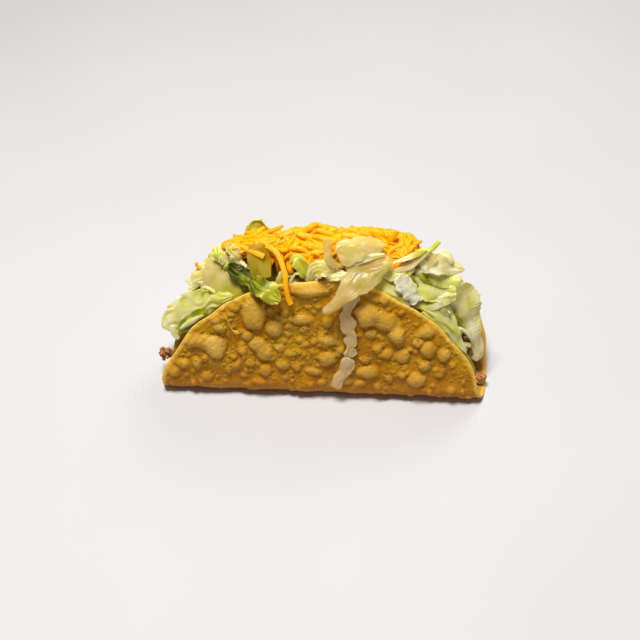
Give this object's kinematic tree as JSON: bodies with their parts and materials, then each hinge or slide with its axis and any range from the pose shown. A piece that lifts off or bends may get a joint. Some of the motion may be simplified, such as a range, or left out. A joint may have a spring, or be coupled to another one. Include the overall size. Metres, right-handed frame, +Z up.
{
  "type": "hard shell taco",
  "caption": "Crisp folded corn shell, blistered from frying, filled with ground meat, shredded lettuce and grated cheddar, resting on its fold.",
  "frame": {"origin": "in the flat underside of the fold, midway along it and just behind the front wall's turn", "axes": "+X along the fold, to the right seen from the front wall; +Y from the front wall to the rear wall; +Z up"},
  "size_m": [0.1366, 0.0531, 0.0684],
  "materials": {
    "fried_corn": "fried corn, golden, with a faint oily sheen",
    "lettuce_pale": "wet, translucent pale lettuce",
    "lettuce_green": "wet green lettuce",
    "cheddar": "soft satin cheese",
    "ground_beef": "browned, slightly greasy"
  },
  "bodies": {
    "root": {"cheese": "cheddar", "cheese_strand": "cheddar", "lettuce": "lettuce_pale", "lettuce_back": "lettuce_green", "lettuce_clear_top": "lettuce_pale", "lettuce_curl": "lettuce_pale", "lettuce_green_chip": "lettuce_green", "lettuce_green_fold": "lettuce_green", "lettuce_left_green": "lettuce_green", "lettuce_left_pale": "lettuce_pale", "lettuce_left_top": "lettuce_pale", "lettuce_low_left": "lettuce_pale", "lettuce_middle": "lettuce_pale", "lettuce_ribbon": "lettuce_pale", "lettuce_right": "lettuce_pale", "lettuce_right_green": "lettuce_green", "lettuce_scrap": "lettuce_pale", "lettuce_tail": "lettuce_pale", "lettuce_thin_curl": "lettuce_pale", "lettuce_top_right": "lettuce_pale", "lettuce_white": "lettuce_pale", "lettuce_yellow": "lettuce_pale", "meat": "ground_beef", "meat_crumb_1": "ground_beef", "meat_crumb_2": "ground_beef", "shell": "fried_corn"}
  },
  "joints": []
}
